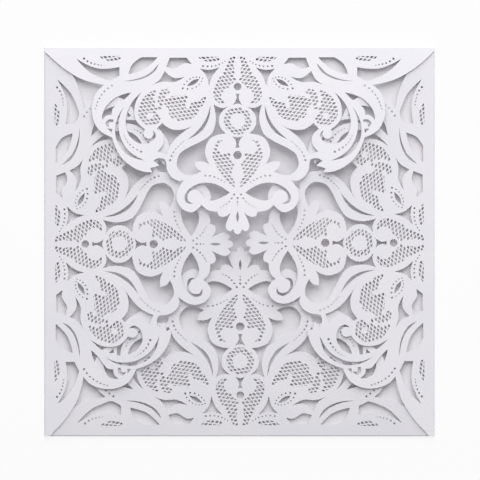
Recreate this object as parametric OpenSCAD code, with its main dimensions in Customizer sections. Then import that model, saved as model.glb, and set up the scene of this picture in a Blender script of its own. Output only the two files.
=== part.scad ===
// Laser-cut wedding invitation: one square sheet of card whose four lace flaps fold over its face.

/* [Card] */
// Side of the folded square, in millimetres
side = 155; // [130:1:180]
// Thickness of the card
card_t = 0.3; // [0.2:0.05:0.4]

/* [Folds] */
// Inside radius of the lowest fold
fold_r = 0.25; // [0.2:0.05:0.6]
// Clear space between one flap and the next above it
layer_gap = 0.2; // [0.15:0.05:0.5]
// Rise of the lowest flap from level, in degrees
first_rise = 1.4; // [0.5:0.1:2]
// Further rise of each flap above it, in degrees
rise_step = 1.4; // [0.4:0.1:1.6]
// Clearance between neighbouring folds at a corner
corner_slit = 0.1; // [0.05:0.05:0.3]
// Length of the straight end of a flap that lies over its neighbour, from the edge of the card
corner_end = 1.9; // [1.5:0.1:2.5]

/* [Lace] */
// How far each flap reaches in from the edge of the card
lace_reach = 75.2; // [60:0.1:77]
// How far the lace of each flap sits off its fold's middle: foot, right, head, left
lace_shift = [0.3, -0.7, 0.75, 1.2]; // [-2:0.05:2]
// Largest distance between a cut curve and its straight steps
curve_step = 0.18; // [0.04:0.02:0.2]
// Radius of the round eye in the upper heart
upper_eye_r = 1.5; // [1:0.1:1.8]
// Radius of the round eye in the lower heart
lower_eye_r = 1.65; // [1:0.1:1.8]

/* [Hidden] */
$fn = 64;
half = side / 2;
// The lace is drawn for this fold length and this reach, then scaled to the card.
drawn_side = 155;
drawn_reach = 74.9;
u_scale = side / drawn_side;
v_scale = lace_reach / drawn_reach;

// Flaps in order round the card: foot, right, head, left, each with its layer from the lowest up.
flap_layers = [0, 1, 2, 1];
function neighbour_layer(i, end) = flap_layers[(i + end + 4) % 4];
function layer_r(layer) = fold_r + layer * (card_t + layer_gap) / 2;
function layer_rise(layer) = first_rise + layer * rise_step;
function fold_depth(layer) = layer_r(layer) + card_t;

// Knots of the lace on half a flap: u runs along the fold from its middle, v away from the fold.
// [u, v] is passed smoothly and [u, v, 1] is a sharp corner.

// Free edge from the corner of the card, by way of the scrolls, to the middle petal.
free_edge = [
    [75.2, 4.2], [72.4, 6.8], [68.2, 10], [62.5, 13.2], [53.3, 15.6, 1],
    [56.1, 18.2], [57.9, 22.6], [57.9, 28.4], [55.3, 33.5], [50.1, 36.4, 1],
    [49.1, 39.3], [46.6, 44], [41.8, 48.2], [37.4, 50], [33.9, 50.2, 1],
    [34.8, 48.6, 1], [33, 48.1], [31.1, 47.5, 1], [33.5, 45.7, 1], [31.6, 44.7], [28.8, 45.2],
    [28.2, 48.8], [26.4, 52], [23.4, 53.6], [21.1, 53.2, 1],
    [23.3, 56.3], [24.2, 60.3], [22.3, 64.4], [18.3, 66.1], [14.3, 63.1, 1],
    [11.8, 65.2], [8.1, 65.8, 1],
    [7.3, 67.6], [5, 67.8], [2.7, 66.2, 1],
    [4.1, 69.4], [4.7, 71.9], [3.1, 73.7], [1.7, 72.8, 1],
    [1.1, 74.4], [0, 74.9]
];

// Gap that runs round the rosette and the lower heart into a drop with a leaf.
heart_gap = [
    [3.9, 24.3, 1], [6.5, 24.7], [9.6, 23.3, 1],
    [8.6, 28.5], [10.4, 35], [17.5, 39.5], [23.1, 43.1], [24, 48], [20.5, 51.3], [14.4, 49.8, 1],
    [16.3, 48.4], [17, 46.1, 1], [14.3, 45.9], [11.1, 47.1, 1],
    [12.9, 42.7], [10.9, 36.9], [4.6, 34.9, 1], [7.1, 31.8], [7, 27.4]
];
heart_slit = [
    [10.8, 23.6, 1], [12.1, 28], [14.9, 32.6], [19.8, 37.2, 1], [14.4, 34], [11.4, 28.8]
];
heart_point = [
    [7.2, 8.6, 1], [11.2, 9.6], [14.9, 9.1, 1], [12.4, 12.1], [11.4, 16, 1], [10, 12.1]
];
leaf_eye = [[15.2, 13.3, 1], [17.6, 13.7], [20.2, 16.1, 1], [17.2, 15.4]];
fold_window = [
    [20.3, 4.8, 1], [27, 4.8, 1], [28.4, 8.4, 1], [25.3, 9.1], [20.8, 7], [18.3, 7.3, 1]
];
fold_wing = [
    [31.9, 4.6, 1], [38.2, 4.6, 1], [41.8, 7.2], [43.6, 11.3, 1], [36.7, 9.1]
];
wing_slit = [
    [31.3, 7.1, 1], [35.3, 11.1], [45.6, 14.1, 1], [37.8, 13.1], [33, 10.2]
];
wave = [
    [20.9, 12.3, 1], [25.3, 12.8], [29.1, 10, 1], [31.2, 13.7], [35, 16, 1], [30.2, 14.4], [25, 14.4, 1]
];
arm_gap = [
    [16.8, 31.2, 1], [21.4, 33.2], [26.5, 33.1], [30, 30.7, 1], [32.2, 33, 1],
    [29.6, 35.8], [29.7, 39.2], [31.9, 41.9, 1], [28.3, 43.3, 1], [26.6, 39.5]
];
ball_gap = [
    [38.3, 18.5, 1], [42.3, 22.8], [44.6, 29.6], [43.5, 35.2], [39, 38.8], [34.2, 38.1], [32.5, 35.6],
    [33.8, 33.6, 1], [33.5, 35.4], [35.4, 37.1], [37.4, 35.6], [36.9, 33.2, 1], [40.4, 29.8], [40.7, 22.8]
];
crescent_slit = [
    [45.4, 24.4, 1], [48.2, 29.4], [48.6, 36.2], [44.7, 42.8], [36.9, 45.6, 1],
    [43.1, 42], [47.1, 34.9], [47, 27.9]
];
scroll_gap = [
    [42.4, 18.6, 1], [48, 20.3], [52, 23.5], [54.1, 28.4], [54, 29.5, 1], [52.4, 27.8], [50.2, 27.4, 1],
    [49.8, 25], [48.1, 23.5, 1], [45.3, 21.5]
];
curl_gap = [
    [49.5, 29.4, 1], [51.4, 29.3], [52.8, 30.9], [51.3, 32.4, 1], [51.5, 30.9], [49.6, 30.4, 1]
];
curl_foot = [[50, 33, 1], [52, 32.9, 1], [50.2, 34.6, 1]];
drop_scroll = [
    [3.1, 58.3, 1], [7.2, 55.6], [12.6, 54.3], [18, 56], [21.1, 60.1], [20.2, 62.4], [17.7, 62.6, 1],
    [19.7, 61.4], [19.5, 58.6], [17, 57.1], [14.6, 58.4], [13.3, 60.5], [10.6, 61.4], [6.5, 60.3]
];
corner_gap = [
    [47.2, 8.5, 1], [55.5, 9.1], [64.5, 5.2, 1], [58.5, 11], [51, 13.9, 1], [47.2, 12, 1]
];
cuts = [
    heart_gap, heart_slit, heart_point, leaf_eye, fold_window, fold_wing, wing_slit, wave, arm_gap,
    ball_gap, crescent_slit, scroll_gap, curl_gap, curl_foot, drop_scroll, corner_gap
];

// Cuts that lie on the middle line, as the half on one side of it.
upper_stem = [[0.85, 19.1, 1], [0.4, 20.6], [2, 23.6, 1], [0, 23]];
lower_stem = [[0, 36.4], [2.2, 35.9, 1], [0.45, 38.9], [0.9, 40.5, 1]];
petal_slit = [[0, 65.6, 1], [0.55, 68], [0, 70]];
middle_cuts = [upper_stem, lower_stem, petal_slit];
upper_eye_v = 16.3;
lower_eye_v = 43.4;

// The other half of a line of knots, in the order that closes the loop.
function mirrored(knots) = [
    for (i = [len(knots) - 1:-1:0]) let (k = knots[i]) if (k.x > 0)
        len(k) > 2 ? [-k.x, k.y, 1] : [-k.x, k.y]
];

// A knot on the card: scaled, and moved along the fold by a shift that fades towards the corners.
function spot(k, shift) =
    let (u = k.x * u_scale)
    [u + shift * (1 - pow(u / half, 2)), k.y * v_scale];

// Direction at b of the parabola through a, b and c, by chord length.
function slope(a, b, c) =
    let (h0 = norm(b - a), h1 = norm(c - b))
    ((b - a) * h1 / h0 + (c - b) * h0 / h1) / (h0 + h1);

// Points of one cubic stretch from a to b, with d0 and d1 its end directions, b left out.
function stretch(a, b, d0, d1) =
    let (
        h = norm(b - a),
        bend = acos(max(-1, min(1, d0 * d1 / norm(d0) / norm(d1)))),
        steps = max(1, ceil(sqrt(h * bend * PI / 180 / 8 / curve_step)))
    )
    [for (j = [0:steps - 1])
        let (t = j / steps, s = 1 - t)
        s * s * s * a + 3 * s * s * t * (a + d0 * h / 3) + 3 * s * t * t * (b - d1 * h / 3) + t * t * t * b];

// Closed curve through the knots; next to a corner the stretch keeps its neighbour's bend.
function loop(knots, shift) =
    let (n = len(knots), p = [for (k = knots) spot(k, shift)])
    [for (i = [0:n - 1])
        let (
            j = (i + 1) % n,
            chord = (p[j] - p[i]) / norm(p[j] - p[i]),
            corner0 = len(knots[i]) > 2,
            corner1 = len(knots[j]) > 2,
            smooth0 = slope(p[(i + n - 1) % n], p[i], p[j]),
            smooth1 = slope(p[i], p[j], p[(j + 1) % n]),
            d0 = !corner0 ? smooth0 : corner1 ? chord : 1.5 * chord - 0.5 * smooth1,
            d1 = !corner1 ? smooth1 : corner0 ? chord : 1.5 * chord - 0.5 * smooth0
        )
        each stretch(p[i], p[j], d0, d1)];

// Half of a flap's outline: full width at a corner where it lies over its neighbour, else mitred clear of it.
function half_edge(layer, over) =
    let (depth = fold_depth(layer), outer = half - corner_slit)
    concat(
        over
            ? [[outer / u_scale, depth / v_scale, 1], [outer / u_scale, corner_end / v_scale, 1]]
            : [[(outer - depth) / u_scale, depth / v_scale, 1]],
        free_edge
    );

// Flat lace of one flap, its fold line on the X axis.
module lace(i) {
    layer = flap_layers[i];
    shift = lace_shift[i];
    after = half_edge(layer, layer > neighbour_layer(i, 1));
    before = half_edge(layer, layer > neighbour_layer(i, -1));
    translate([0, -fold_depth(layer)])
        difference() {
            polygon(loop(concat(after, mirrored(before)), shift));
            for (cut = cuts) {
                polygon(loop(cut, shift));
                polygon(loop(mirrored(cut), shift));
            }
            for (cut = middle_cuts)
                polygon(loop(concat(cut, mirrored(cut)), shift));
            translate(spot([0, upper_eye_v], shift))
                circle(upper_eye_r);
            translate(spot([0, lower_eye_v], shift))
                circle(lower_eye_r);
        }
}

// Half-round bend from the back panel up to a flap, about the X axis.
module bend(layer) {
    rotate([90, 0, 90])
        rotate([0, 0, 90])
            rotate_extrude(angle = 180 - layer_rise(layer))
                translate([layer_r(layer), -half])
                    square([card_t, side]);
}

// Room of one fold: its ends are mitred to the corners, and full width above a neighbour that it lies over.
module fold_room(i) {
    layer = flap_layers[i];
    depth = fold_depth(layer);
    outer = half - corner_slit;
    linear_extrude(2 * depth + card_t)
        polygon([
            [-outer, -half], [outer, -half], [outer - depth, depth - half], [depth - outer, depth - half]
        ]);
    for (end = [-1, 1])
        if (layer > neighbour_layer(i, end))
            translate([
                end * (outer - depth / 2),
                depth / 2 - half,
                2 * fold_depth(neighbour_layer(i, end)) + corner_slit + depth / 2
            ])
                cube(depth, center = true);
}

// One fold and its flap, turned to the foot side of the card.
module flap(i) {
    layer = flap_layers[i];
    depth = fold_depth(layer);
    intersection() {
        translate([0, depth - half, depth])
            rotate([layer_rise(layer), 0, 0])
                bend(layer);
        fold_room(i);
    }
    translate([0, depth - half, depth])
        rotate([layer_rise(layer), 0, 0])
            translate([0, 0, layer_r(layer)])
                linear_extrude(card_t)
                    lace(i);
}

// Back panel between the four folds.
module back_panel() {
    foot = half - fold_depth(0);
    sides = half - fold_depth(1);
    head = half - fold_depth(2);
    translate([-sides, -foot])
        cube([2 * sides, foot + head, card_t]);
}

module folded_card() {
    color("GhostWhite") {
        back_panel();
        for (i = [0:3])
            rotate([0, 0, 90 * i])
                flap(i);
    }
}

folded_card();
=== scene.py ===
"""Laser-cut wedding invitation: folded card with its lattice, pin holes, springy flaps and pearl finish."""
import math

import bpy
import numpy as np
from mathutils.geometry import delaunay_2d_cdt
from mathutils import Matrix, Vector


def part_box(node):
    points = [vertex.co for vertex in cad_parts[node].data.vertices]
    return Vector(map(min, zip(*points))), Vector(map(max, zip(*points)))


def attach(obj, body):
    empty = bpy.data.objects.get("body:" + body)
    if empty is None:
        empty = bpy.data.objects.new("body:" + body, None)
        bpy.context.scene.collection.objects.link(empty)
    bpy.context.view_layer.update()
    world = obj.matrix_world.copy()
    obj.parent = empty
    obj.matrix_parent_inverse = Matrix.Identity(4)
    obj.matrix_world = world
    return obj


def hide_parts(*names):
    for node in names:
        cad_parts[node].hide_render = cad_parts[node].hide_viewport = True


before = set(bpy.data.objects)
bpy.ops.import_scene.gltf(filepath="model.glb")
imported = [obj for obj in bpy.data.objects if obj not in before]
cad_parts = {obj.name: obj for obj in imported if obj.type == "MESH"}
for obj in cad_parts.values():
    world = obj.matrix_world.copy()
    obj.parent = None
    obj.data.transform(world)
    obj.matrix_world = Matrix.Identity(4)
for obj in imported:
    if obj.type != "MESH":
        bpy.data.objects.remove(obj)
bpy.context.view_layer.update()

# Lengths on the card are in millimetres, and MM makes metres of them.
MM = 0.001
CARD = "folded_card"
card_low, card_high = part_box(CARD)
HALF = (card_high.x - card_low.x) / 2 / MM

# Flaps of the solid: name and turn in degrees from the foot of the card.
FLAPS = {"foot": 0, "right": 90, "head": 180, "left": 270}
# How strongly each flap springs up out of its fold.
SPRING = {"foot": 3.4, "right": 1.8, "head": 1.8, "left": 1.8}

# Upper faces of a flap: the least upward part of their normals, the least lean that is a flap's,
# and how far the lean of a face may be from the flap's own.
FLAP_UPWARD = 0.99
LEAST_LEAN = 0.005
LEAN_SPREAD = 0.002
# Upper face of the back panel: the least upward part of its normal, and the height that it stays under.
PANEL_UPWARD = 0.99999
PANEL_UNDER = 0.5
# Digits to which two points of the solid count as one, and how near the fold a point counts as on it.
PLACE_DIGITS = 3
ON_FOLD = 0.01

# The lace is drawn for half a flap: u runs along the fold from its middle, v away from the fold.
# Two round eyes on the middle line tie this drawing to the solid: their v in the drawing, and their places
# in the row of cut-outs on that line, counted from the fold.
DRAWN_EYES_V = (16.3, 43.4)
EYE_PLACES = (0, 3)
# A cut-out on the middle line is narrower than this, and its middle is nearer to the line than this.
MIDDLE_WIDTH = 8
MIDDLE_OFFSET = 3

# Lattice of the filled fields: two steps from hole to hole, and the part of a cell that is cut out.
STEP_A = np.array([1.6, 0.22])
STEP_B = np.array([1.07, -1.26])
HOLE_SHARE = 0.66
# A hole on the edge of its field is cut where at least this many of its four corners lie inside.
CORNERS_INSIDE = 2

# Fields of lattice on half a flap: one hole's centre, then the knots of the field's edge.
# A knot [u, v] is passed smoothly and [u, v, 1] is a sharp corner.
FIELDS = {
    "upper_heart": ((3.9, 12.2), [
        [0.8, 4.2, 1], [2.7, 4.4, 1], [4.6, 8.4], [7.2, 12.6], [9.2, 16.6], [9.7, 19], [8.7, 21.6],
        [6.8, 22.9], [4.7, 22.9, 1], [5.8, 21.8], [6.5, 20.2], [6.2, 18.6], [5, 17.6], [3.6, 16.6],
        [2.2, 15.1], [0.6, 13.6, 1], [1.2, 10.6], [1.4, 7]]),
    "body": ((25.7, 22.6), [
        [12, 19.2, 1], [15, 21.5], [18.6, 22.8, 1], [19.2, 24.6, 1], [20.4, 25], [20.4, 22.2],
        [18.8, 18.4, 1], [21, 19.5], [24.5, 19.9], [27.4, 20.3], [29.2, 21.8], [29, 23.4], [27.5, 25],
        [27.2, 27.2], [25, 29.4], [21.4, 30], [17.2, 28.2], [14, 24]]),
    "head_wing": ((25.7, 22.6), [
        [26.2, 17.1, 1], [28.8, 17.2], [30.8, 17.8], [31.6, 19.6], [31.9, 21.8], [31.5, 23.6],
        [31.6, 24.8], [30.1, 26.3, 1], [29.9, 24], [29.5, 22.2], [28.7, 20.7], [27.4, 18.9]]),
    "head_crescent": ((25.7, 22.6), [
        [31.4, 17.2, 1], [33.2, 17.7], [36, 19.2], [38.8, 22.6], [39.6, 26], [38.8, 29.5], [35.6, 31.5],
        [31.8, 30.9], [30.7, 28.8], [31.8, 26.6], [32, 25, 1], [32.7, 23.2], [32.9, 21.4], [32.6, 19.6]]),
    "fold_strip": ((9.3, 5.6), [[6.6, 4.4, 1], [15.8, 4.4, 1], [13.6, 5.9], [10.6, 6.3], [7.6, 5.9]]),
    "corner_strip": ((48.6, 5.3), [[45.8, 4.1, 1], [55.4, 4.1, 1], [53, 5.7], [50.4, 6.1], [47.4, 5.6]]),
    "lower_heart": ((7.1, 45.1), [
        [4.4, 37, 1], [7.4, 37.4], [9.5, 39.4], [10.2, 42.4], [9.4, 45.6], [7.2, 49.6], [4.4, 53.6],
        [0.8, 56.4, 1], [1, 54.6], [2.2, 51.6], [2.2, 49.4], [1.2, 47, 1], [2.6, 44.8], [2.8, 42.4, 1],
        [5, 42.6], [7.2, 41.8], [7.7, 40], [6.8, 38.3]]),
}
# Bare round spots left inside a field: centre and radius.
BARE_SPOTS = {"head_crescent": ((34.9, 27.8), 1.3)}
ROSETTE = {"hole": (-0.5, 26.5), "centre": (0, 29.75), "inner_r": 3.0, "outer_r": 5.5}

# Rows of pin holes on half a flap, from the largest hole: knots of the row, number of holes,
# first and last radius.
PIN_ROWS = [
    ([[13.7, 8], [10.1, 8.1], [7.3, 7.4], [5, 6.1]], 7, 0.4, 0.24),
    ([[21.2, 15.3], [18.9, 13.1], [16.2, 12.4], [14, 13]], 7, 0.3, 0.26),
    ([[21.8, 16.9], [18.6, 17.1], [16.1, 16.1], [14.4, 14.2]], 6, 0.42, 0.26),
    ([[50.2, 15.8], [53.3, 18.2], [55.4, 21.3], [56.8, 25]], 8, 0.42, 0.26),
    ([[38.4, 42], [41.6, 40.3], [43.8, 38.2], [45.1, 35.8]], 7, 0.45, 0.26),
    ([[26.8, 45.4], [25.6, 42.3], [23.5, 39.9], [21.6, 38.1]], 7, 0.45, 0.26),
    ([[12.8, 51.5], [10.8, 51.6], [7.7, 52.7], [5.2, 54]], 6, 0.42, 0.26),
    ([[1.4, 59], [2.6, 60.9], [4.4, 62.7], [6.8, 64.1]], 6, 0.42, 0.26),
    ([[61.4, 5.1], [59.6, 6.4], [57.4, 7.2], [54.5, 7.7]], 6, 0.44, 0.26),
]
# The holes of a row draw together towards its small end by this share.
ROW_CLOSING = 0.2
# Pin holes on the middle line: distance from the fold and radius.
MIDDLE_PINS = [(60.4, 0.42), (61.9, 0.34), (63.1, 0.26)]

# Sides of a pin hole and of a field's round rim, and the length of one straight piece of a curve.
PIN_SIDES = 10
RIM_SIDES = 48
CURVE_PIECE = 0.55
# A corner of the solid's loops stays sharp from this turn on, or from a smaller one beside a long edge.
SHARP_TURN = math.radians(44)
STRAIGHT_TURN = math.radians(20)
STRAIGHT_EDGE = 5.5
# Rows of faces round a bend, and parts of a fold's length.
BEND_ROWS = 12
FOLD_PARTS = 60
# Clearance between folds at a corner, and the height of an upper fold, in fold depths, that clears
# the lower one.
CORNER_SLIT = 0.1
OVER_SHARE = 1.5
# Points that fill the lace between its cut-outs: their spacing and the first row's distance from the fold.
FILL_SPACING = 2.6
FILL_START = 1
# Settings of the triangulation: all triangles are kept, and points this near to each other are merged.
ALL_TRIANGLES = 0
MERGE_DISTANCE = 1e-4

# Noise of the finish, in waves a metre: drift of the tint, flecks of gloss, tooth and fibres of a cut.
DRIFT_SCALE = 45
FLECK_SCALE = 2600
TOOTH_SCALE = 1400
FIBRE_SCALE = 3000
# Most of a noise's values lie in this range, and the tint of the card changes over a narrower one.
NOISE_RANGE = (0.3, 0.7)
DRIFT_RANGE = (0.35, 0.65)
# Tooth of the card: strength and depth.
TOOTH_STRENGTH = 0.12
TOOTH_DEPTH = 0.03

# Floor: half its side in metres, its clearance under the card, and how much of what the camera sees of it
# is plain white. The rest is lit, so that a faint shadow stays.
FLOOR_REACH = 3.0
FLOOR_CLEARANCE = 0.02
FLOOR_WHITE_SHARE = 0.85
# Light, in metres and watts: the soft lamp beyond the head of the card, and the strength of the even sky.
LAMP_PLACE = (0.1, 1.05, 0.72)
LAMP_SIDE = 1.7
LAMP_POWER = 25.5
SKY_STRENGTH = 0.36

# Photograph: pixels on a side, with the card's middle and mean side in pixels.
PHOTO_SIZE = 480
PHOTO_MIDDLE = (239.46, 241.04)
PHOTO_SIDE = 390.2
# Camera: height in metres, and the side of its square sensor in millimetres.
CAMERA_HEIGHT = 3.0
SENSOR_SIDE = 36


def turned(points, degrees):
    """Points turned about Z by an angle in degrees."""
    c = math.cos(math.radians(degrees))
    s = math.sin(math.radians(degrees))
    out = np.array(points, float)
    x = out[:, 0].copy()
    y = out[:, 1].copy()
    out[:, 0] = c * x - s * y
    out[:, 1] = s * x + c * y
    return out


def slope_at(a, b, c):
    """Direction at b of the parabola through a, b and c, by chord length."""
    before = np.linalg.norm(b - a)
    after = np.linalg.norm(c - b)
    return ((b - a) * after / before + (c - b) * before / after) / (before + after)


def smooth_curve(points, corners, closed=True):
    """Points along a smooth curve through the given ones, with a sharp turn at each corner."""
    p = np.array(points, float)
    n = len(p)
    out = []
    for i in range(n if closed else n - 1):
        j = (i + 1) % n
        length = np.linalg.norm(p[j] - p[i])
        chord = (p[j] - p[i]) / length
        sharp_i = corners[i] or (not closed and i == 0)
        sharp_j = corners[j] or (not closed and j == n - 1)
        d0 = chord if sharp_i else slope_at(p[i - 1], p[i], p[j])
        d1 = chord if sharp_j else slope_at(p[i], p[j], p[(j + 1) % n])
        # A curve leaves a sharp end without curvature there.
        if sharp_i and not sharp_j:
            d0 = 1.5 * chord - 0.5 * d1
        if sharp_j and not sharp_i:
            d1 = 1.5 * chord - 0.5 * d0
        straight = sharp_i and sharp_j
        pieces = 1 if straight else max(1, round(length / CURVE_PIECE))
        for t in np.arange(pieces) / pieces:
            s = 1 - t
            inner = 3 * s * s * t * (p[i] + d0 * length / 3) + 3 * s * t * t * (p[j] - d1 * length / 3)
            out.append(s ** 3 * p[i] + inner + t ** 3 * p[j])
    if not closed:
        out.append(p[-1])
    return np.array(out)


def smoothed_loop(loop):
    """A loop of the solid with its straight steps rounded into curves, its sharp corners kept."""
    step = np.roll(loop, -1, axis=0) - loop
    heading = np.arctan2(step[:, 1], step[:, 0])
    turn = np.abs((heading - np.roll(heading, 1) + math.pi) % (2 * math.pi) - math.pi)
    length = np.linalg.norm(step, axis=1)
    beside = np.maximum(length, np.roll(length, 1))
    return smooth_curve(loop, (turn > SHARP_TURN) | ((turn > STRAIGHT_TURN) & (beside > STRAIGHT_EDGE)))


def knot_curve(knots, closed=True):
    """Curve through the listed knots of the drawing."""
    return smooth_curve([k[:2] for k in knots], [len(k) > 2 for k in knots], closed)


def inside(points, loops):
    """True for each point that lies inside an odd number of the loops."""
    x = points[:, 0]
    y = points[:, 1]
    odd = np.zeros(len(points), bool)
    for loop in loops:
        for (x0, y0), (x1, y1) in zip(loop, np.roll(loop, -1, axis=0)):
            if y0 == y1:
                continue
            crosses = (y0 > y) != (y1 > y)
            odd ^= crosses & (x < (x1 - x0) * (y - y0) / (y1 - y0) + x0)
    return odd


def open_loops(rings):
    """Loops of the sides that only one of the rings of points has."""
    open_sides = set()
    for ring in rings:
        for a, b in zip(ring, ring[1:] + ring[:1]):
            if (b, a) in open_sides:
                open_sides.remove((b, a))
            else:
                open_sides.add((a, b))
    ahead = dict(sorted(open_sides))
    loops = []
    while ahead:
        start, here = ahead.popitem()
        loop = [start]
        while here != start:
            loop.append(here)
            here = ahead.pop(here)
        loops.append(np.array(loop))
    return loops


class Flap:
    """One flap of the solid, turned to the foot side: its outlines, fold, rise and place of the drawing."""

    def __init__(self, name):
        self.name = name
        self.turn = FLAPS[name]
        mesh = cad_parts[CARD].data
        places = turned([v.co / MM for v in mesh.vertices], -self.turn)
        centres = turned([f.center / MM for f in mesh.polygons], -self.turn)
        normals = turned([f.normal for f in mesh.polygons], -self.turn)
        # The rise is a small angle, so its sine, the lean of the normal, stands for it.
        lean = np.where(normals[:, 2] > FLAP_UPWARD, -normals[:, 1], 0)
        self.rise = np.median(lean[lean > LEAST_LEAN])
        on_top = (centres[:, 1] < 0) & (np.abs(lean - self.rise) < LEAN_SPREAD)
        keys = [tuple(np.round(q[:2], PLACE_DIGITS)) for q in places]
        rings = [[keys[i] for i in mesh.polygons[face].vertices] for face in np.nonzero(on_top)[0]]
        loops = [loop + [0, HALF] for loop in open_loops(rings)]
        loops.sort(key=lambda q: -np.ptp(q[:, 0]))
        self.edge = loops[0]
        self.cuts = loops[1:]
        self.depth = self.edge[:, 1].min()
        self.reach = self.edge[:, 1].max()
        ends = self.edge[self.edge[:, 1] < self.depth + ON_FOLD, 0]
        self.fold_ends = np.array([ends.min(), ends.max()])
        self.tie_drawing()

    def tie_drawing(self):
        """Finds the drawing's shift along the fold and its stretch away from it, by the two round eyes."""
        narrow = [c for c in self.cuts if np.ptp(c[:, 0]) < MIDDLE_WIDTH]
        middle = [c for c in narrow if abs(c[:, 0].mean()) < MIDDLE_OFFSET]
        middle.sort(key=lambda q: q[:, 1].mean())
        eyes = [middle[k] for k in EYE_PLACES]
        eye_v = [(e[:, 1].min() + e[:, 1].max()) / 2 for e in eyes]
        self.shift = np.mean([(e[:, 0].min() + e[:, 0].max()) / 2 for e in eyes])
        self.stretch = (eye_v[1] - eye_v[0]) / (DRAWN_EYES_V[1] - DRAWN_EYES_V[0])

    def spot(self, points):
        """Points of the drawing, put where this flap has its lace."""
        q = np.array(points, float)
        u = q[:, 0]
        return np.column_stack([u + self.shift * (1 - (u / HALF) ** 2), q[:, 1] * self.stretch])


def unit_circle(sides):
    """Corners of a regular polygon of radius 1."""
    angles = np.arange(sides) * 2 * math.pi / sides
    return np.column_stack([np.cos(angles), np.sin(angles)])


def lattice_holes(hole, edge_loops):
    """Holes of the lattice that lie in a field, each as four corners of the drawing."""
    cell = np.column_stack([STEP_A, STEP_B])
    spread = np.vstack(edge_loops)
    ends = np.array([spread.min(0), spread.max(0)])
    box = [(u, v) for u in ends[:, 0] for v in ends[:, 1]]
    counts = np.linalg.solve(cell, (np.array(box) - hole).T)
    low = np.floor(counts.min(1)).astype(int)
    high = np.ceil(counts.max(1)).astype(int)
    grid = [(i, j) for i in range(low[0], high[0] + 1) for j in range(low[1], high[1] + 1)]
    corners = np.array([[-1, -1], [1, -1], [1, 1], [-1, 1]]) * HOLE_SHARE / 2
    rings = hole + (np.array(grid)[:, None] + corners) @ cell.T
    corners_held = inside(rings.reshape(-1, 2), edge_loops).reshape(-1, 4).sum(1)
    return list(rings[corners_held >= CORNERS_INSIDE])


def lattice_fields():
    """Every field of lattice on a whole flap, as (edge loops, holes) of the drawing."""
    fields = []
    circle = unit_circle(RIM_SIDES)
    for name, (hole, knots) in FIELDS.items():
        rims = [knot_curve(knots)]
        if name in BARE_SPOTS:
            centre, radius = BARE_SPOTS[name]
            rims.append(centre + circle * radius)
        holes = lattice_holes(np.array(hole), rims)
        for mirror in ([1, 1], [-1, 1]):
            fields.append(([rim * mirror for rim in rims], [ring * mirror for ring in holes]))
    rims = [ROSETTE["centre"] + circle * ROSETTE[r] for r in ("outer_r", "inner_r")]
    fields.append((rims, lattice_holes(np.array(ROSETTE["hole"]), rims)))
    return fields


def pin_holes(flap):
    """Loops of the pin holes of one flap."""
    circle = unit_circle(PIN_SIDES)
    pins = [((0, v), r) for v, r in MIDDLE_PINS]
    for knots, count, first, last in PIN_ROWS:
        line = knot_curve(knots, closed=False)
        along = np.concatenate([[0], np.cumsum(np.linalg.norm(np.diff(line, axis=0), axis=1))])
        for k in range(count):
            part = k / (count - 1)
            reach = part * (1 + ROW_CLOSING * (1 - part)) * along[-1]
            place = [np.interp(reach, along, line[:, c]) for c in (0, 1)]
            radius = first + (last - first) * part
            pins.append((place, radius))
            pins.append(((-place[0], place[1]), radius))
    return [flap.spot([place])[0] + circle * radius for place, radius in pins]


def fill_points(flap):
    """Points along the fold, and staggered rows of points over the flap."""
    points = [(u, flap.depth) for u in np.linspace(*flap.fold_ends, FOLD_PARTS + 1)[1:-1]]
    for k, v in enumerate(np.arange(flap.depth + FILL_START, flap.reach, FILL_SPACING)):
        start = -HALF + (k % 2) * FILL_SPACING / 2
        points += [(u, v) for u in np.arange(start, HALF, FILL_SPACING)]
    return points


def flap_triangles(flap, fields):
    """Flat lace of one flap as points [u, v] and triangles, with every hole cut."""
    outline = [smoothed_loop(flap.edge)] + [smoothed_loop(c) for c in flap.cuts]
    placed = [([flap.spot(q) for q in rims], [flap.spot(q) for q in holes]) for rims, holes in fields]
    pins = pin_holes(flap)
    loops = outline + pins
    for rims, holes in placed:
        loops += rims + holes

    points = []
    edges = []
    for loop in loops:
        first = len(points)
        points += [tuple(q) for q in loop]
        edges += [(first + i, first + (i + 1) % len(loop)) for i in range(len(loop))]
    points += fill_points(flap)
    found = delaunay_2d_cdt(points, edges, [], ALL_TRIANGLES, MERGE_DISTANCE, False)
    flat = np.array([tuple(q) for q in found[0]])
    triangles = np.array(found[2])
    middle = flat[triangles].mean(1)
    keep = inside(middle, outline)
    keep[keep] = ~inside(middle[keep], pins)
    for rims, holes in placed:
        field = np.nonzero(keep)[0]
        field = field[inside(middle[field], rims)]
        keep[field] = ~inside(middle[field], holes)
    return flat, triangles[keep]


def bend_profile(flap, thickness):
    """Rows of the bend from the back panel up to the flap: distance from the edge, height, angle."""
    radius = flap.depth - thickness / 2
    start = math.tan(flap.rise) + SPRING[flap.name] / (flap.reach - flap.depth)
    angles = np.linspace(1.5 * math.pi, math.pi / 2 + math.atan(start), BEND_ROWS + 1)
    return [(flap.depth + radius * math.cos(a), flap.depth + radius * math.sin(a), a) for a in angles]


def fold_row_ends(flap, distance, level):
    """Ends of one row of the bend: mitred to the corners, and full width above a fold that it lies over."""
    ends = []
    for end in flap.fold_ends:
        lies_over = abs(end) > HALF - flap.depth / 2
        mitred = HALF - CORNER_SLIT - distance
        full = lies_over and level > OVER_SHARE * flap.depth
        ends.append(math.copysign(abs(end) if full else mitred, end))
    return ends


def flap_height(flap, v, start):
    """Height and slope of a flap's middle surface at v from the edge: steep at first, then nearly level."""
    span = flap.reach - start[0]
    s = np.clip((v - start[0]) / span, 0, 1)
    height = start[1] + (v - start[0]) * math.tan(flap.rise) + SPRING[flap.name] * s * (1 - s) ** 2
    slope = math.tan(flap.rise) + SPRING[flap.name] / span * (1 - s) * (1 - 3 * s)
    return height, slope


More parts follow.
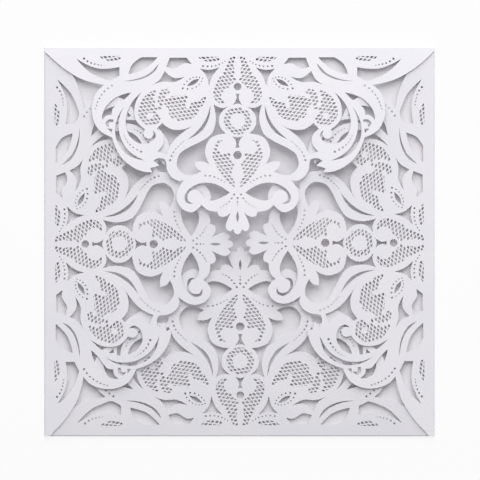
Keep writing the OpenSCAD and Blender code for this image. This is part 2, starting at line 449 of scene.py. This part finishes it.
# Material slots of the sheet.
OUTER_SIDE, INNER_SIDE, CUT_EDGE = range(3)


class Sheet:
    """The middle surface of the folded card: points, normals on its outer side, and faces."""

    def __init__(self):
        self.points = []
        self.normals = []
        self.faces = []

    def add(self, points, normals, turn):
        """Adds points, turned to their flap's side, and returns their numbers."""
        first = len(self.points)
        self.points += list(turned(points, turn))
        self.normals += list(turned(normals, turn))
        return np.arange(first, len(self.points))

    def solid(self, name, thickness):
        """A closed mesh of the sheet at its full thickness, with a material for each side and the cuts."""
        points = np.array(self.points)
        normals = np.array(self.normals)
        normals /= np.linalg.norm(normals, axis=1)[:, None]
        count = len(points)
        outer = points + normals * thickness / 2
        inner = points - normals * thickness / 2
        steps = [(a, b) for f in self.faces for a, b in zip(f, f[1:] + f[:1])]
        known = set(steps)
        rim = [(a, b) for a, b in steps if (b, a) not in known]
        faces = list(self.faces)
        faces += [[i + count for i in reversed(f)] for f in self.faces]
        faces += [[b, a, a + count, b + count] for a, b in rim]
        mesh = bpy.data.meshes.new(name)
        mesh.from_pydata(np.vstack([outer, inner]) * MM, [], faces)
        sides = [OUTER_SIDE] * len(self.faces) + [INNER_SIDE] * len(self.faces) + [CUT_EDGE] * len(rim)
        mesh.polygons.foreach_set("material_index", sides)
        mesh.shade_smooth()
        both = np.vstack([normals, -normals])
        corner_normals = []
        for f, polygon in zip(faces, mesh.polygons):
            flat = polygon.material_index == CUT_EDGE
            corner_normals += [polygon.normal] * len(f) if flat else list(both[f])
        mesh.normals_split_custom_set(corner_normals)
        return mesh


def add_flap(sheet, flap, fields, thickness):
    """Adds one bend and its lace flap, and returns the bend's first row, on the back panel."""
    flat, triangles = flap_triangles(flap, fields)
    used = np.unique(triangles)
    renumber = np.zeros(len(flat), int)
    renumber[used] = np.arange(len(used))
    flat = flat[used]
    profile = bend_profile(flap, thickness)
    start = profile[-1]
    on_fold = flat[:, 1] < flap.depth + ON_FOLD
    v = np.where(on_fold, start[0], flat[:, 1])
    height, slope = flap_height(flap, v, start)
    normals = np.column_stack([0 * v, -slope, 0 * v + 1])
    numbers = sheet.add(np.column_stack([flat[:, 0], v - HALF, height]), normals, flap.turn)
    sheet.faces += numbers[renumber[triangles]].tolist()
    fold = np.nonzero(on_fold)[0]
    fold = fold[np.argsort(flat[fold, 0])]
    rows = []
    for distance, level, angle in profile[:-1]:
        ends = fold_row_ends(flap, distance, level)
        even = np.ones(len(fold))
        along = np.interp(flat[fold, 0], flap.fold_ends, ends)
        row = np.column_stack([along, even * (distance - HALF), even * level])
        out = np.column_stack([0 * even, even * math.cos(angle), even * math.sin(angle)])
        rows.append(sheet.add(row, out, flap.turn))
    rows.append(numbers[fold])
    for low, high in zip(rows, rows[1:]):
        sheet.faces += np.column_stack([low[:-1], low[1:], high[1:], high[:-1]]).tolist()
    return rows[0].tolist()


def card_thickness():
    """Height of the back panel's upper face over the surface that the card lies on."""
    level = [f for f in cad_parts[CARD].data.polygons if f.normal.z > PANEL_UPWARD]
    panel_top = [f for f in level if f.center.z < PANEL_UNDER * MM]
    return panel_top[0].center.z / MM


def build_card():
    """The folded sheet as one piece: back panel, four bends and four lace flaps."""
    thickness = card_thickness()
    fields = lattice_fields()
    sheet = Sheet()
    panel = []
    for name in FLAPS:
        panel += add_flap(sheet, Flap(name), fields, thickness)
    sheet.faces.append(panel[::-1])
    card = bpy.data.objects.new("lace_card", sheet.solid("lace_card", thickness))
    bpy.context.scene.collection.objects.link(card)
    return card


def new_material(name):
    """A new material, with its nodes, its links and its main shader."""
    material = bpy.data.materials.new(name)
    material.use_nodes = True
    nodes = material.node_tree.nodes
    return material, nodes, material.node_tree.links, nodes["Principled BSDF"]


def noise(nodes, links, coords, scale, detail):
    """A noise texture over the object's own coordinates."""
    texture = nodes.new("ShaderNodeTexNoise")
    texture.inputs["Scale"].default_value = scale
    texture.inputs["Detail"].default_value = detail
    links.new(coords.outputs["Object"], texture.inputs["Vector"])
    return texture


def tint(nodes, links, source, shader, first, last, reach=(0, 1)):
    """Colours the shader from the first tint to the last over a reach of a noise's values."""
    colours = nodes.new("ShaderNodeValToRGB")
    for element, position, colour in zip(colours.color_ramp.elements, reach, (first, last)):
        element.position = position
        element.color = colour
    links.new(source.outputs["Fac"], colours.inputs["Fac"])
    links.new(colours.outputs["Color"], shader.inputs["Base Color"])


def roughen(nodes, links, source, shader, smooth, rough):
    """Varies the shader's roughness between two values by a noise."""
    spread = nodes.new("ShaderNodeMapRange")
    spread.inputs["From Min"].default_value = NOISE_RANGE[0]
    spread.inputs["From Max"].default_value = NOISE_RANGE[1]
    spread.inputs["To Min"].default_value = smooth
    spread.inputs["To Max"].default_value = rough
    links.new(source.outputs["Fac"], spread.inputs["Value"])
    links.new(spread.outputs["Result"], shader.inputs["Roughness"])


def card_side(name, cool, warm, roughness):
    """One side of the card: faint cool and warm drifts of colour, fine tooth, soft sheen."""
    material, nodes, links, shader = new_material(name)
    coords = nodes.new("ShaderNodeTexCoord")
    drift = noise(nodes, links, coords, DRIFT_SCALE, detail=2)
    tint(nodes, links, drift, shader, cool, warm, DRIFT_RANGE)
    fleck = noise(nodes, links, coords, FLECK_SCALE, detail=3)
    roughen(nodes, links, fleck, shader, *roughness)
    tooth = noise(nodes, links, coords, TOOTH_SCALE, detail=4)
    bump = nodes.new("ShaderNodeBump")
    bump.inputs["Strength"].default_value = TOOTH_STRENGTH
    bump.inputs["Distance"].default_value = TOOTH_DEPTH * MM
    links.new(tooth.outputs["Fac"], bump.inputs["Height"])
    links.new(bump.outputs["Normal"], shader.inputs["Normal"])
    shader.inputs["Specular IOR Level"].default_value = 0.1
    shader.inputs["Sheen Weight"].default_value = 0.03
    shader.inputs["Sheen Roughness"].default_value = 0.4
    return material


def pearl_card():
    """White pearl face of the card."""
    cool = (0.83, 0.822, 0.879, 1)
    warm = (0.86, 0.842, 0.889, 1)
    return card_side("pearl_card", cool, warm, roughness=(0.55, 0.7))


def inner_side_painted_fill():
    """Inner side of the card, without the pearl coat: duller, and tinted a little lighter than the pearl face
    as painted fill light that lifts the shade under the flaps.
    """
    # Painted fill light: these tints are lighter than the pearl face's, so the back panel and the flap
    # undersides, mostly seen in shade under the flaps, read lighter.
    cool = (0.862, 0.846, 0.892, 1)
    warm = (0.882, 0.862, 0.902, 1)
    return card_side("inner_side_painted_fill", cool, warm, roughness=(0.65, 0.8))


def cut_edge():
    """Laser-cut edge: raw, rougher card, a touch warmer than the coated faces."""
    material, nodes, links, shader = new_material("cut_edge")
    coords = nodes.new("ShaderNodeTexCoord")
    fibre = noise(nodes, links, coords, FIBRE_SCALE, detail=2)
    scorched = (0.72, 0.66, 0.61, 1)
    clean = (0.84, 0.81, 0.79, 1)
    tint(nodes, links, fibre, shader, scorched, clean)
    roughen(nodes, links, fibre, shader, smooth=0.7, rough=0.9)
    return material


def maths(nodes, links, operation, first, second):
    """A node that works on an output and on another output or a number."""
    node = nodes.new("ShaderNodeMath")
    node.operation = operation
    links.new(first, node.inputs[0])
    if isinstance(second, float):
        node.inputs[1].default_value = second
    else:
        links.new(second, node.inputs[1])
    return node.outputs["Value"]


def seen_rays(nodes, links):
    """1 for the rays that show the floor: straight to the camera, mirrored, or through something clear."""
    ray = nodes.new("ShaderNodeLightPath").outputs
    indirect = maths(nodes, links, "MAXIMUM", ray["Is Glossy Ray"], ray["Is Transmission Ray"])
    return maths(nodes, links, "MAXIMUM", ray["Is Camera Ray"], indirect)


def floor_white():
    """Plain white table: nearly white where it is seen, and matt for the light that it throws on the card."""
    material, nodes, links, shader = new_material("floor_white")
    shader.inputs["Base Color"].default_value = (0.9, 0.9, 0.9, 1)
    shader.inputs["Roughness"].default_value = 0.9
    shader.inputs["Specular IOR Level"].default_value = 0.1
    white = nodes.new("ShaderNodeEmission")
    share = maths(nodes, links, "MULTIPLY", seen_rays(nodes, links), FLOOR_WHITE_SHARE)
    mix = nodes.new("ShaderNodeMixShader")
    links.new(share, mix.inputs["Fac"])
    links.new(shader.outputs["BSDF"], mix.inputs[1])
    links.new(white.outputs["Emission"], mix.inputs[2])
    links.new(mix.outputs["Shader"], nodes["Material Output"].inputs["Surface"])
    return material


def add_floor():
    """The table that the card lies on."""
    mesh = bpy.data.meshes.new("floor")
    corners = [(x * FLOOR_REACH, y * FLOOR_REACH, 0) for x, y in ((-1, -1), (1, -1), (1, 1), (-1, 1))]
    mesh.from_pydata(corners, [], [(0, 1, 2, 3)])
    floor = bpy.data.objects.new("floor", mesh)
    floor.data.materials.append(floor_white())
    floor.location.z = card_low.z - FLOOR_CLEARANCE * MM
    bpy.context.scene.collection.objects.link(floor)


def add_lamp():
    """A large square soft lamp beyond the head of the card, which looks at the card's middle."""
    light = bpy.data.lights.new("head_softbox", "AREA")
    light.size = LAMP_SIDE
    light.energy = LAMP_POWER
    lamp = bpy.data.objects.new("head_softbox", light)
    lamp.location = LAMP_PLACE
    lamp.rotation_euler = (-lamp.location).to_track_quat("-Z", "Y").to_euler()
    bpy.context.scene.collection.objects.link(lamp)


def add_sky():
    """An even white sky."""
    world = bpy.data.worlds.new("studio")
    world.use_nodes = True
    sky = world.node_tree.nodes["Background"]
    sky.inputs["Color"].default_value = (1, 1, 1, 1)
    sky.inputs["Strength"].default_value = SKY_STRENGTH
    bpy.context.scene.world = world


def add_camera():
    """Camera straight above the card, head of the card up, framed as in the photograph."""
    per_pixel = 2 * HALF * MM / PHOTO_SIDE
    data = bpy.data.cameras.new("camera")
    data.sensor_width = SENSOR_SIDE
    data.sensor_height = SENSOR_SIDE
    data.lens = SENSOR_SIDE * CAMERA_HEIGHT / (per_pixel * PHOTO_SIZE)
    camera = bpy.data.objects.new("camera", data)
    camera.location = (
        (PHOTO_SIZE / 2 - PHOTO_MIDDLE[0]) * per_pixel,
        (PHOTO_MIDDLE[1] - PHOTO_SIZE / 2) * per_pixel,
        CAMERA_HEIGHT,
    )
    bpy.context.scene.collection.objects.link(camera)
    bpy.context.scene.camera = camera


lace_card = build_card()
lace_card.data.materials.append(pearl_card())
# The inner side's material carries painted fill light, which lightens the shaded pockets under the flaps.
lace_card.data.materials.append(inner_side_painted_fill())
lace_card.data.materials.append(cut_edge())
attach(lace_card, "root")
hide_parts(CARD)

add_floor()
add_lamp()
add_sky()
add_camera()
bpy.context.scene.view_settings.view_transform = "Standard"
